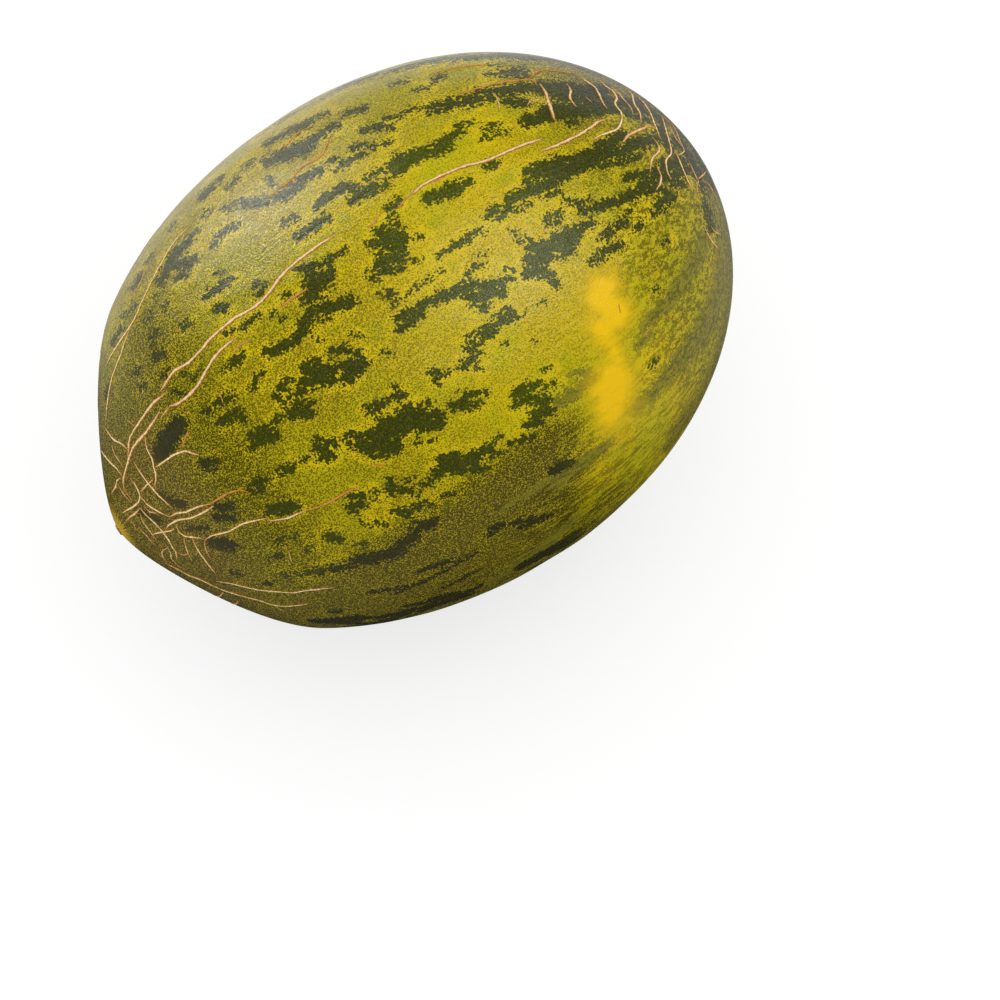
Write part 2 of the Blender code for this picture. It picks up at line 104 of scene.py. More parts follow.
# Dark blotches, and painted shade along the fruit's top outline, as strokes: a half width, then both
# ends of each stroke of that half width, across and down, all in pixels
BLOTCHES_AND_EDGE_SHADE = [
    # upper-left flank
    (6.5, 222, 420, 238, 412), (6, 169, 264, 177, 252),
    (5, 159, 282, 169, 266, 178, 250, 188, 243, 177, 264, 194, 258, 178, 279, 188, 268,
     213, 291, 224, 285, 217, 309, 226, 307, 155, 358, 162, 354, 232, 364, 242, 356,
     218, 404, 231, 396), (4.5, 182, 328, 189, 323),
    (4, 200, 198, 213, 187, 213, 246, 223, 231, 224, 232, 237, 225, 244, 326, 257, 316,
     256, 286, 263, 283, 257, 294, 262, 290, 224, 370, 233, 365, 252, 388, 260, 374, 203, 412, 210, 412,
     232, 417, 245, 419), (3.5, 222, 283, 232, 279),
    (3, 190, 238, 197, 231, 213, 185, 223, 177, 228, 188, 238, 178, 243, 168, 253, 161,
     224, 209, 240, 201, 133, 290, 141, 275, 113, 343, 121, 328, 205, 298, 213, 291, 153, 337, 157, 331,
     225, 334, 231, 331, 163, 375, 169, 369, 134, 373, 139, 369, 260, 376, 264, 371,
     175, 391, 188, 397),
    (2.5, 202, 218, 210, 210, 146, 322, 151, 312, 183, 373, 193, 378, 192, 378, 201, 371,
     140, 388, 144, 385),
    (2, 146, 262, 151, 255, 169, 231, 176, 222, 216, 275, 223, 272, 122, 318, 127, 312,
     131, 312, 134, 304, 155, 300, 157, 296, 163, 310, 168, 303, 107, 392, 109, 384, 150, 345, 152, 342,
     105, 398, 108, 390),
    # the upper left, on the shoulder
    (8, 285, 155, 308, 146), (7.5, 393, 166, 402, 159, 402, 162, 424, 153),
    (7, 380, 233, 402, 236, 378, 243, 402, 245, 381, 265, 401, 255),
    (6.5, 268, 162, 285, 152, 284, 196, 298, 184), (6, 353, 201, 371, 191),
    (5.5, 298, 182, 319, 171, 396, 172, 406, 166, 325, 198, 345, 187),
    (5, 308, 142, 325, 133, 242, 205, 262, 202, 317, 207, 325, 199, 345, 188, 352, 186,
     356, 192, 388, 184, 298, 237, 313, 227, 313, 227, 325, 218, 388, 208, 398, 201),
    (4.5, 292, 130, 310, 123, 284, 223, 296, 216, 369, 275, 385, 268),
    (4, 328, 128, 338, 124, 268, 178, 275, 185, 262, 204, 284, 196, 368, 244, 380, 240,
     385, 272, 401, 268),
    (3.5, 345, 115, 353, 111, 353, 112, 366, 108, 362, 131, 378, 125, 376, 128, 393, 127,
     352, 149, 365, 144, 340, 165, 360, 155, 366, 177, 380, 170),
    (3, 264, 145, 292, 130, 432, 81, 444, 76, 400, 116, 411, 110, 370, 148, 391, 141,
     394, 212, 396, 220, 375, 228, 386, 226, 388, 222, 404, 228, 378, 255, 385, 252),
    (2.5, 310, 120, 328, 112, 391, 85, 407, 81, 384, 118, 400, 116, 360, 155, 373, 149,
     335, 170, 345, 166, 325, 162, 338, 158, 380, 171, 393, 169, 376, 282, 380, 280),
    (2, 413, 91, 428, 88, 411, 110, 424, 107, 322, 220, 332, 220),
    # along the top
    (9, 545, 113, 600, 108, 560, 173, 592, 160), (8, 540, 88, 602, 92, 560, 238, 576, 231),
    (7.5, 431, 152, 447, 145, 528, 172, 560, 166),
    (7, 526, 122, 545, 117, 428, 198, 456, 190, 540, 188, 562, 176, 568, 162, 604, 154),
    (6.5, 510, 199, 540, 187),
    (6, 500, 90, 530, 88, 600, 100, 640, 104, 585, 155, 612, 147, 600, 206, 632, 196,
     630, 195, 656, 187, 600, 146, 622, 136, 604, 154, 628, 150, 538, 166, 560, 160),
    (5.5, 445, 140, 462, 130),
    (5, 506, 101, 528, 104, 438, 105, 480, 100, 560, 98, 612, 102, 486, 166, 496, 163,
     446, 187, 470, 182, 488, 216, 495, 208, 500, 218, 510, 206, 572, 230, 592, 223),
    (4.5, 478, 93, 522, 87, 503, 73, 523, 71, 600, 110, 644, 112, 580, 212, 606, 206),
    (4, 430, 112, 450, 107, 430, 107, 452, 101, 446, 101, 480, 97, 568, 122, 576, 123,
     566, 201, 585, 205, 545, 219, 562, 213, 545, 197, 560, 190, 524, 184, 540, 178),
    (3.5, 470, 104, 502, 96, 456, 127, 472, 122, 484, 128, 498, 124, 600, 166, 640, 157),
    (3, 481, 138, 508, 132, 548, 226, 560, 222, 616, 110, 648, 120),
    (2.5, 487, 74, 498, 75, 519, 79, 529, 76, 518, 212, 530, 204), (2, 490, 65, 500, 66),
    # painted shade: dark strips along the fruit's top outline as the picture sees it
    (4, 560, 59, 612, 75, 612, 75, 652, 101), (3.5, 500, 55, 560, 59, 652, 101, 690, 141),
    (3, 336, 88, 380, 71, 380, 71, 440, 59, 440, 59, 500, 55, 690, 141, 714, 188),
    (2.5, 300, 106, 336, 88), (2, 252, 136, 300, 108),
    # over the blunt end
    (7.5, 631, 144, 654, 140), (7, 664, 165, 682, 162), (6, 655, 172, 680, 184),
    (5, 640, 186, 656, 178, 660, 130, 672, 150, 672, 176, 688, 170, 676, 140, 690, 158,
     690, 160, 700, 176), (4.5, 626, 178, 648, 173, 656, 206, 668, 199, 600, 253, 622, 245),
    (4, 662, 190, 674, 198, 650, 112, 664, 122, 602, 238, 612, 233, 591, 262, 605, 258,
     706, 205, 710, 216, 709, 216, 711, 230),
    (3.5, 600, 145, 619, 148, 650, 214, 665, 210, 600, 237, 611, 230, 618, 227, 628, 221,
     650, 366, 656, 361),
    (3, 612, 226, 622, 222, 700, 180, 704, 190, 635, 226, 641, 225, 664, 243, 668, 240),
    (2.5, 622, 214, 632, 211, 640, 223, 643, 221, 634, 229, 638, 227, 578, 204, 590, 198),
    (2, 655, 291, 656, 288),
    # the middle
    (8, 308, 373, 331, 369, 532, 248, 554, 246, 530, 260, 547, 256),
    (7.5, 310, 285, 325, 280, 326, 308, 346, 303, 527, 272, 543, 271),
    (7, 345, 366, 363, 362, 345, 378, 358, 369, 470, 297, 487, 296, 561, 247, 574, 240),
    (6.5, 305, 299, 318, 289, 291, 413, 310, 412, 251, 436, 268, 430, 400, 318, 421, 309,
     440, 297, 470, 288),
    (6, 308, 274, 330, 274, 303, 322, 314, 312, 297, 336, 306, 326, 286, 345, 300, 337,
     268, 352, 286, 346, 302, 382, 330, 381, 262, 441, 277, 435, 466, 284, 484, 285, 485, 286, 503, 284,
     489, 293, 502, 293),
    (5.5, 312, 312, 332, 304, 252, 447, 260, 441, 400, 330, 411, 322, 504, 310, 514, 317,
     498, 319, 510, 319),
    (5, 306, 366, 318, 362, 296, 403, 312, 403, 420, 306, 440, 298, 485, 329, 500, 323,
     480, 336, 492, 332),
    (4.5, 342, 301, 355, 302, 331, 353, 345, 347, 300, 391, 313, 386, 275, 396, 284, 386,
     449, 249, 468, 239, 476, 306, 486, 309, 466, 348, 478, 345, 432, 371, 444, 375,
     549, 275, 557, 285),
    (4, 297, 270, 325, 263, 282, 385, 289, 379, 270, 426, 280, 417, 412, 322, 423, 314,
     463, 361, 476, 358, 564, 256, 572, 251),
    (3.5, 330, 258, 345, 250, 290, 395, 304, 392, 283, 403, 286, 402, 270, 425, 286, 415,
     438, 257, 449, 250, 470, 235, 484, 231, 472, 267, 484, 266),
    (3, 314, 293, 325, 299, 320, 321, 330, 315, 283, 296, 291, 294, 348, 352, 360, 352,
     345, 384, 351, 383, 388, 291, 396, 294, 418, 237, 424, 237, 466, 339, 480, 330, 474, 351, 481, 354,
     434, 379, 437, 383),
    (2.5, 327, 266, 333, 258, 350, 297, 352, 295, 331, 283, 333, 288, 271, 316, 275, 311,
     281, 321, 287, 316, 378, 294, 386, 298, 392, 305, 403, 298, 407, 294, 417, 287, 420, 284, 433, 279,
     431, 278, 441, 271, 411, 261, 421, 258, 500, 279, 516, 279, 466, 273, 476, 267, 472, 366, 481, 370,
     512, 230, 518, 233, 518, 241, 526, 238, 506, 269, 515, 272, 539, 303, 543, 301,
     502, 343, 505, 343),
    (2, 351, 335, 360, 336, 312, 336, 319, 340, 474, 257, 488, 251, 445, 372, 466, 367,
     520, 316, 529, 310, 534, 340, 536, 341),
    # below the middle
    (10, 386, 425, 430, 422), (9.5, 161, 452, 170, 438, 168, 436, 179, 425),
    (9, 362, 446, 395, 446, 372, 436, 400, 430), (8, 402, 415, 438, 415, 452, 466, 474, 458),
    (7, 428, 425, 440, 424, 436, 474, 452, 466, 516, 394, 530, 388, 534, 416, 548, 411),
    (6.5, 453, 407, 465, 401, 530, 400, 546, 399, 270, 510, 290, 505),
    (6, 440, 461, 458, 456, 400, 545, 415, 536, 366, 560, 400, 551, 212, 541, 232, 546),
    (5.5, 369, 410, 382, 404, 316, 448, 327, 450, 321, 457, 332, 456, 280, 470, 290, 469,
     350, 507, 365, 503, 396, 512, 410, 512, 328, 536, 340, 539, 415, 528, 435, 522, 218, 509, 231, 508,
     203, 463, 214, 462),
    (5, 395, 388, 400, 394, 462, 471, 476, 468, 355, 560, 376, 558, 527, 425, 541, 421,
     278, 512, 296, 508, 170, 500, 183, 505),
    (4.5, 348, 436, 364, 435, 468, 408, 481, 403, 474, 456, 490, 449, 390, 481, 393, 494,
     395, 491, 411, 492, 340, 568, 360, 562, 312, 572, 336, 567, 514, 407, 523, 403, 255, 482, 268, 480,
     252, 489, 263, 490, 216, 516, 233, 518),
    (4, 366, 408, 372, 412, 331, 441, 336, 446, 424, 484, 438, 479, 351, 496, 363, 495,
     412, 509, 426, 503, 525, 385, 541, 385, 512, 443, 530, 437, 140, 512, 158, 520),
    (3.5, 390, 399, 405, 395, 370, 455, 386, 456, 345, 441, 353, 448, 404, 408, 412, 406,
     463, 394, 486, 393, 316, 438, 326, 441, 408, 490, 419, 495, 441, 495, 455, 493, 545, 389, 556, 383,
     156, 461, 162, 457, 190, 528, 206, 528),
    (3, 489, 456, 505, 452, 480, 470, 490, 466, 404, 481, 412, 478, 352, 514, 356, 512,
     424, 503, 433, 507, 375, 523, 385, 525, 525, 438, 533, 435, 544, 370, 549, 368, 206, 469, 213, 470,
     159, 493, 166, 497, 282, 540, 296, 537),
    (2.5, 382, 352, 392, 352, 420, 405, 431, 402, 416, 443, 419, 443, 484, 446, 496, 442,
     497, 439, 503, 435, 363, 500, 376, 500, 362, 522, 370, 526, 284, 575, 311, 572, 275, 540, 287, 540,
     305, 550, 313, 550, 232, 573, 241, 575, 270, 558, 283, 555, 266, 583, 271, 583,
     278, 401, 281, 399),
    (2, 428, 442, 436, 440, 295, 461, 310, 458, 372, 490, 383, 490, 354, 545, 371, 542),
]
# Soft olive bands, and painted shade along the fruit's outline, in the same form
OLIVE_BANDS_AND_EDGE_SHADE = [
    (9, 708, 318, 698, 344, 695, 338, 680, 364),
    (8, 694, 262, 682, 288, 680, 286, 664, 308, 717, 290, 711, 322, 556, 404, 574, 392),
    (7, 704, 238, 696, 262, 686, 350, 668, 376, 572, 396, 590, 381),
    (6, 664, 304, 644, 328, 722, 240, 720, 290, 668, 372, 650, 398),
    (5, 648, 394, 636, 410, 692, 408, 672, 432, 712, 195, 716, 225),
    (4, 650, 334, 636, 346, 570, 376, 588, 370),
    # painted shade along the fruit's own outline as the picture sees it, over the top and down the
    # right
    (7, 612, 73, 652, 99, 652, 99, 690, 139, 690, 139, 716, 188),
    (6, 560, 57, 612, 73, 716, 188, 728, 240, 720, 356, 700, 404, 700, 404, 668, 448),
    (5, 500, 53, 560, 57, 728, 240, 729, 300, 729, 300, 720, 356),
    (4, 336, 86, 380, 69, 380, 69, 440, 57, 440, 57, 500, 53), (3, 300, 104, 336, 86),
]
# The bright yellow patch where the fruit touched the ground as it grew
GROUND_PATCH = [
    (12, 605, 300, 613, 316, 614, 374, 618, 398), (10, 607, 390, 609, 404),
    (8, 600, 284, 610, 286, 599, 326, 605, 334, 618, 408, 612, 418), (6, 611, 342, 616, 360),
]
# What lies below this line in the picture gets its own pattern, as the far side does
PATTERN_EDGE = [(240, 640), (330, 592), (350, 580), (400, 553), (440, 527), (500, 490), (550, 452),
                (600, 430), (627, 418)]
# Right of the line's end nothing does
PATTERN_GOES_ON = 2000.0

# Cork lines: half width in metres and how ripe the cork is, from amber to cream
CORK_KINDS = {"main": (0.00051, 0.78), "net": (0.00038, 1.0), "thin": (0.00028, 0.85),
              "amber": (0.00034, 0.1)}
# Each line is its kind and its points, across and down in pixels
CORK_LINES_SEEN = [
    # the long pair from the shoulder down to the pointed end
    ("main", 336, 236, 318, 247, 303, 258, 285, 273, 270, 293, 256, 307, 236, 318, 216, 334, 203, 349,
     189, 363, 175, 371, 168, 381, 160, 393),
    ("main", 166, 393, 153, 405, 143, 418, 134, 432, 130, 441, 129, 450, 128, 457),
    ("main", 237, 338, 225, 347, 215, 358, 207, 370, 199, 384, 191, 394, 180, 403, 170, 407),
    ("main", 169, 408, 164, 414, 161, 418),
    ("main", 160, 412, 153, 423, 145, 435, 138, 442, 133, 450, 129, 460, 127, 468, 124, 478, 124, 490),
    # up the upper-left flank
    ("net", 192, 226, 176, 242, 165, 260, 154, 280, 145, 298, 134, 322, 122, 340, 107, 367),
    ("net", 131, 329, 122, 354, 116, 369, 113, 378, 109, 396, 106, 423),
    ("thin", 147, 270, 138, 289, 128, 301), ("amber", 314, 128, 303, 132, 294, 139, 282, 153),
    ("amber", 331, 137, 321, 157, 303, 168, 288, 184, 270, 197),
    ("amber", 380, 215, 375, 223, 368, 229), ("amber", 308, 289, 294, 298, 280, 309),
    ("amber", 252, 341, 240, 345, 231, 352), ("amber", 217, 392, 221, 397, 223, 403),
    ("amber", 371, 468, 378, 465, 385, 466),
    # the limb beside the pointed end
    ("net", 105, 428, 110, 435, 115, 441, 122, 444, 128, 450),
    ("net", 101, 451, 109, 461, 117, 469, 123, 478), ("net", 121, 478, 117, 481, 116, 487, 112, 494),
    ("thin", 112, 445, 115, 455, 121, 463, 124, 469), ("thin", 119, 486, 123, 493, 131, 503),
    ("thin", 128, 421, 135, 427),
    # the net round the pointed end
    ("net", 145, 437, 147, 449, 152, 458, 154, 467, 156, 474, 156, 480, 155, 485, 156, 490),
    ("net", 156, 467, 161, 464, 172, 456, 178, 453, 186, 451, 192, 453, 199, 455),
    ("amber", 188, 431, 185, 439, 182, 448),
    ("net", 134, 462, 140, 472, 149, 484, 159, 496, 166, 502, 173, 509),
    ("net", 153, 480, 147, 485, 141, 492),
    ("net", 130, 478, 136, 486, 140, 495, 139, 502, 131, 508, 122, 513),
    ("net", 140, 508, 135, 514, 130, 517, 126, 521),
    ("net", 140, 508, 146, 515, 155, 523, 163, 532, 168, 539, 173, 548, 176, 552, 177, 560),
    ("thin", 124, 489, 127, 494, 131, 499, 132, 503), ("thin", 140, 498, 144, 500, 147, 504),
    ("thin", 140, 513, 142, 520, 146, 526, 150, 531, 155, 538, 158, 542),
    ("thin", 133, 522, 135, 528, 138, 531), ("thin", 138, 527, 143, 532, 147, 536, 151, 541, 155, 545),
    ("net", 141, 497, 147, 504, 156, 510, 165, 515, 170, 517), ("thin", 144, 506, 150, 512, 157, 513),
    ("net", 169, 517, 177, 513, 186, 512, 197, 507, 210, 504),
    ("amber", 210, 504, 216, 500, 228, 493, 234, 491, 241, 490, 248, 492),
    ("net", 166, 529, 169, 525, 178, 520, 190, 518, 202, 513, 214, 506),
    ("net", 151, 534, 161, 532, 172, 530, 174, 528),
    ("net", 176, 524, 179, 532, 185, 536, 192, 537, 201, 538, 205, 540),
    ("net", 205, 540, 212, 536, 228, 532, 237, 527, 248, 522, 267, 518),
    ("net", 267, 521, 279, 520, 289, 518, 298, 514, 307, 511),
    ("amber", 307, 511, 322, 506, 336, 499, 350, 491, 362, 487), ("thin", 205, 540, 205, 547, 211, 560),
    ("net", 192, 538, 198, 550, 206, 561, 216, 574), ("thin", 184, 538, 187, 550, 192, 561),
    ("thin", 177, 552, 184, 555, 188, 553),
    ("thin", 164, 543, 168, 548, 171, 554, 172, 559, 179, 566, 183, 568),
    ("thin", 168, 548, 163, 550, 162, 554, 163, 557, 168, 563), ("amber", 159, 544, 163, 548),
    ("thin", 159, 553, 162, 558), ("thin", 196, 556, 198, 552),
    # under the pointed end
    ("net", 165, 563, 178, 569, 189, 575, 200, 579, 223, 590, 239, 595, 258, 600, 278, 606, 309, 604),
    ("net", 216, 581, 229, 583, 242, 586, 258, 590, 278, 592, 294, 593, 309, 590, 334, 588),
    ("thin", 289, 551, 292, 563), ("thin", 238, 601, 233, 606), ("thin", 213, 595, 223, 592),
    ("thin", 276, 607, 285, 612),
    # along the top
    ("amber", 399, 210, 403, 203, 410, 197),
    ("main", 410, 197, 426, 184, 449, 173, 467, 166, 485, 162, 507, 152, 525, 145, 543, 139),
    ("amber", 430, 184, 445, 177), ("main", 540, 152, 556, 146, 576, 137, 590, 128, 599, 122, 606, 120),
    ("amber", 459, 96, 470, 91, 480, 88, 496, 84, 516, 81, 532, 80, 537, 86),
    ("amber", 532, 78, 536, 73, 546, 71, 559, 72, 576, 75),
    ("net", 576, 75, 587, 82, 596, 89, 602, 101, 607, 109),
    ("amber", 430, 76, 450, 70, 470, 67, 490, 66), ("thin", 527, 107, 532, 101, 545, 101),
    ("thin", 495, 94, 499, 104, 500, 111), ("thin", 586, 97, 592, 103),
    # over the blunt end
    ("main", 540, 84, 545, 91, 549, 103, 553, 115, 555, 121),
    ("net", 567, 84, 571, 91, 570, 98, 576, 107),
    ("net", 599, 80, 605, 86, 613, 92, 617, 99, 615, 103, 617, 108, 621, 112, 622, 120, 618, 129,
     609, 133, 597, 137, 592, 141), ("thin", 615, 89, 623, 99, 631, 108, 633, 115),
    ("net", 624, 87, 632, 95, 634, 104, 640, 114, 641, 123),
    ("net", 637, 96, 645, 105, 651, 115, 655, 126, 661, 140),
    ("main", 653, 128, 648, 127, 640, 130, 629, 135, 623, 142),
    ("net", 652, 137, 657, 143, 659, 151, 652, 159, 650, 172), ("thin", 646, 146, 652, 158),
    ("net", 657, 167, 661, 176, 660, 184, 656, 190),
    ("net", 662, 117, 666, 131, 671, 152, 666, 160, 667, 171, 671, 180),
    ("thin", 669, 125, 675, 137, 684, 149), ("thin", 660, 115, 673, 126, 680, 142, 684, 151, 677, 156),
    ("net", 674, 149, 678, 158, 685, 175, 693, 193), ("thin", 688, 160, 696, 177, 698, 181, 696, 190),
    ("thin", 706, 171, 698, 179), ("thin", 705, 181, 711, 188, 718, 203), ("thin", 717, 204, 722, 212),
    ("thin", 711, 226, 715, 232, 722, 235), ("net", 705, 228, 711, 240, 719, 250),
    ("amber", 716, 252, 715, 262), ("amber", 710, 281, 707, 287),
    # short flecks of cork beside the yellow patch
    ("thin", 616, 254, 620, 262, 623, 268), ("thin", 666, 292, 664, 301), ("thin", 653, 303, 652, 308),
    ("thin", 640, 275, 639, 280), ("thin", 652, 328, 647, 333, 643, 338), ("thin", 688, 361, 693, 359),
    ("amber", 676, 365, 677, 369), ("amber", 619, 305, 621, 313),
]

# How much wider than listed the blotches are, in pixels
BLOTCHES_WIDER = 0.3
# How far below the pattern's edge its own pattern gives way, in pixels
EDGE_FADE = 24.0
# Where the rind turns away from the picture: how squarely it faces it, from listed marks to none
TURNING_AWAY = (0.12, 0.02)
# How far, in millimetres, marks fade where their pattern ends, and how the yellow patch does
FADE = 8.0
PATCH_FADE = 16.0
PATCH_TURNING_AWAY = (0.0, -0.42)
# The depths that the material needs, in millimetres inside a mark's edge
DEPTHS_KEPT = (-4.0, 4.0)
PATCH_DEPTHS_KEPT = (-14.0, 9.0)

# The far side's marks: their seed, how many, and the half widths and lengths of their strokes
FAR_BLOTCHES = (7, 300, (0.0011, 0.0032), (0.006, 0.019))
FAR_BANDS = (19, 34, (0.0025, 0.0045), (0.020, 0.045))
# A mark's first place as a share of the length, its strokes, and how they follow on each other
MARK_PLACES = (0.03, 0.97)
MARK_STROKES = (1, 5)
STROKE_DRIFT = 0.5
STROKE_WIDTHS = (0.6, 1.2)
STROKE_ADVANCE = (0.2, 0.9)
STROKE_SIDESTEP = 1.6
LAST_STROKE_START = 0.97 * LENGTH
LAST_STROKE_END = 0.985 * LENGTH
# The rind counts as at least this wide where marks and cork lines drift sideways
LEAST_RADIUS = 0.02

# The ring of colour round the pointed end, in millimetres from the axis, and its rays: waves round
# the fruit, their turn and their share
TIP_RING = (11.0, 4.0)
TIP_RAY_REACH = 2.5
TIP_RAYS = ((31, 0.0, 0.5), (53, 1.0, 0.5), (83, 2.0, 0.4))

# How crowded and brown the olive specks grow, and the painted shade that darkens the skin the same
# way low down and above the pattern's lower edge: how much, and from which to which station
CROWDED_TIP = (1.10, 0.105, 0.012)
CROWDED_BEFORE_TIP = (0.55, 0.165, 0.070)
UNDERSIDE_SHADE_PAINTED = (0.90, 0.200, 0.115)
EDGE_SHADE_PAINTED = (1.12, 0.190, 0.125)
CROWDED_STEM = (0.55, 0.150, 0.195)
CROWDED_AT_ENDS = ((0.5, 0.034, 0.008), (0.5, 0.212, 0.230))
DARKER_BEHIND_STEM = (0.5, 0.180, 0.215)
# The same by how squarely the rind faces a way: darker and browner facing backwards, and backwards
# round the stem, and lighter facing left, as painted light
DARKER_BEHIND = (0.50, 0.05, 0.45)
BEHIND_STEM = (-0.1, 0.3)
LIGHT_PAINTED_LEFT = (0.45, 0.72, 0.95)
# Where the rind faces level enough to count as low and take painted shade, and where it faces right
# and its specks are drawn out in streaks
FACING_LOW = (0.45, 0.0)
FACING_RIGHT = (0.30, 0.65)
# The shade above the pattern's lower edge, in pixels: downwards, and from right to left
SHADE_DOWN = (-66.0, -6.0)
SHADE_LEFT = (640.0, 540.0)

# The far side's cork lines, drawn by the same rule as in the solid; each starts within its own
# share of the way round
FAR_SIDE_SEED = 41
TIP_LINES = 13
TIP_LINES_START = 0.012
STEM_LINES = 15
STEM_LINES_START = 0.010
START_SPREAD = 0.022
FAR_SIDE_FROM = 118
FAR_SIDE_SPAN = 172
WITHIN_SHARE = (0.2, 0.8)
KNOTS = (3, 7)
KNOT_STEPS = (0.007, 0.011)
KNOT_STEP = 0.009
FIRST_DRIFT = 0.35
DRIFT_KEPT = 0.6
DRIFT_CHANGE = 0.3
FAR_SIDE_KINDS = ("net", "net", "thin")
CORK_SEED = 5
CORK_STEP = 0.0018
# The stations that a cork line keeps within
CORK_STATIONS = (0.0006, LENGTH - 0.001)
# Half a cork line's cross-section, from its foot to its cracked crest, in half widths and heights
CORK_SECTION = ((1.35, -0.9), (1.35, 0.06), (1.0, 0.16), (0.70, 0.74), (0.32, 1.0), (0.0, 0.80))
CORK_HEIGHT_SHARE = 0.62
# Its taper towards an end, how uneven its width, course and height are, and how it ripens
CORK_END_SHARE = 0.42
CORK_TAPER = 0.0045
CORK_WIDTHS = (0.76, 1.18)
CORK_WANDER = 0.2
CORK_HEIGHTS = (0.9, 1.1)
YOUNG_SHARE = 0.25
RIPENING = 0.008

# The scars: rings of radius and height joined outwards, their sides, and how uneven they are
SCAR_SEED = 11
TIP_SCAR_SIDES = 36
TIP_SCAR = ((0.0021, -0.0005), (0.0020, 0.0002), (0.0016, 0.0005), (0.0010, 0.0004),
            (0.0003, 0.0002))
STEM_SCAR_SIDES = 48
STEM_SCAR = ((0.0064, -0.0006), (0.0062, 0.0006), (0.0056, 0.0011), (0.0044, 0.0008),
             (0.0032, 0.0010), (0.0020, 0.0005), (0.0008, 0.0004))
SCAR_RADII = (0.93, 1.07)
SCAR_HEIGHTS = (0.85, 1.15)


def linear(red, green, blue):
    """A colour given 0 to 255, in the units that shaders use."""
    values = [part / 255 for part in (red, green, blue)]
    return tuple(v / 12.92 if v <= 0.04045 else ((v + 0.055) / 1.055) ** 2.4 for v in values) + (1.0,)


def pairs(flat):
    """What is listed one after the other, by twos."""
    return list(zip(flat[::2], flat[1::2]))


def rind_radius(station):
    """Radius of the turned rind: an oval, drawn in to a cone towards the pointed end."""
    before = (WIDEST_AT - station) / WIDEST_AT
    share = np.where(station < WIDEST_AT, before, (station - WIDEST_AT) / (LENGTH - WIDEST_AT))
    oval = DIAMETER / 2 * np.sqrt(np.maximum(0.0, 1 - np.abs(share) ** ROUNDNESS))
    cone = TIP_START_RADIUS + TIP_SLOPE * station
    mix = np.clip(0.5 + 0.5 * (cone - oval) / TIP_BLEND, 0.0, 1.0)
    return np.maximum(0.0, cone * (1 - mix) + oval * mix - TIP_BLEND * mix * (1 - mix))


def swell(station, angle):
    """Lobes, out-of-roundness and faint furrows, gone at both ends."""
    middle = np.sin(np.pi * np.clip(station / LENGTH, 0.0, 1.0))
    lobes = LOBE_DEPTH * (np.cos(LOBES * angle + LOBE_TURN) - 1) / 2
    furrows = 0.0
    for waves, depth in FURROWS:
        wander = waves * waves + FURROW_WANDER * np.sin(station * waves)
        furrows = furrows + depth * np.sin(waves * angle + wander)
    return middle * (lobes + OUT_OF_ROUND * np.cos(2 * angle + OUT_OF_ROUND_TURN) + furrows)


def on_rind(station, angle):
    """The point of the rind at a place, in the fruit's own axes."""
    radius = float(rind_radius(station) + swell(station, angle))
    return Vector((station - LENGTH / 2, -radius * math.sin(angle), radius * math.cos(angle)))


def angle_of(sideways, station):
    """How far round the fruit a way sideways along the rind leads."""
    return sideways / max(LEAST_RADIUS, float(rind_radius(station)))


def rind_normal(station, angle):
    """The way out of the rind at a place on it."""
    rise = rind_radius(station + SLOPE_STEP) - rind_radius(station - SLOPE_STEP)
    slope = float(rise) / (2 * SLOPE_STEP)
    return Vector((-slope, -math.sin(angle), math.cos(angle))).normalized()


def station_where(radius, from_station, step):
    """The first station, from one end inwards, where the rind is as wide as the radius given."""
    station = from_station
    while rind_radius(station) < radius:
        station += step
    return station


BUTTON_AT = station_where(BUTTON_RADIUS, 0.0, STATION_STEP)
DIMPLE_AT = station_where(DIMPLE_RADIUS, LENGTH, -STATION_STEP)


def reach(direction):
    """How far the smooth rind reaches from mid-axis, by the direction's angle above +X."""
    stations = np.linspace(0.0, DIMPLE_AT, REACH_STATIONS)
    sideways = rind_radius(stations) * abs(math.sin(direction))
    return float(((stations - LENGTH / 2) * math.cos(direction) + sideways).max())


def resting_place():
    """Turns the fruit's own axes to how it lies: pointed end down, the flat spot on Z = 0."""
    right, left = reach(-TILT), reach(math.pi - TILT)
    height = reach(-math.pi / 2 - TILT) - FLAT_DEPTH
    return Matrix.Translation(((left - right) / 2, 0, height)) @ Matrix.Rotation(-TILT, 4, "Y")


PLACE = resting_place()


def way_towards(azimuth, elevation):
    """The way towards an azimuth and elevation in radians, 0 in front and growing to the right."""
    return Vector((math.sin(azimuth) * math.cos(elevation), -math.cos(azimuth) * math.cos(elevation),
                   math.sin(elevation)))


def sight():
    """The picture's eye and the directions ahead, across and above it, in the world."""
    back = way_towards(SIGHT_AZIMUTH, SIGHT_ELEVATION)
    across = Vector((0, 0, 1)).cross(back).normalized()
    above = back.cross(across)
    aside = (PICTURE_MIDDLE - FRUIT_MIDDLE_PIXEL[0]) * PIXEL
    higher = (FRUIT_MIDDLE_PIXEL[1] - PICTURE_MIDDLE) * PIXEL
    ahead = (across * aside + above * higher - back * SIGHT_DISTANCE).normalized()
    across = ahead.cross(Vector((0, 0, 1))).normalized()
    return PLACE.translation + back * SIGHT_DISTANCE, ahead, across, across.cross(ahead)


EYE, AHEAD, ACROSS, ABOVE = sight()
FOCAL = SIGHT_DISTANCE / PIXEL


def pixels_of(points):
    """Where points of the world fall in the picture, in pixels."""
    way = points - np.array(EYE)
    depth = way @ np.array(AHEAD)
    across = PICTURE_MIDDLE + FOCAL * (way @ np.array(ACROSS)) / depth
    down = PICTURE_MIDDLE - FOCAL * (way @ np.array(ABOVE)) / depth
    return np.stack([across, down], axis=1)


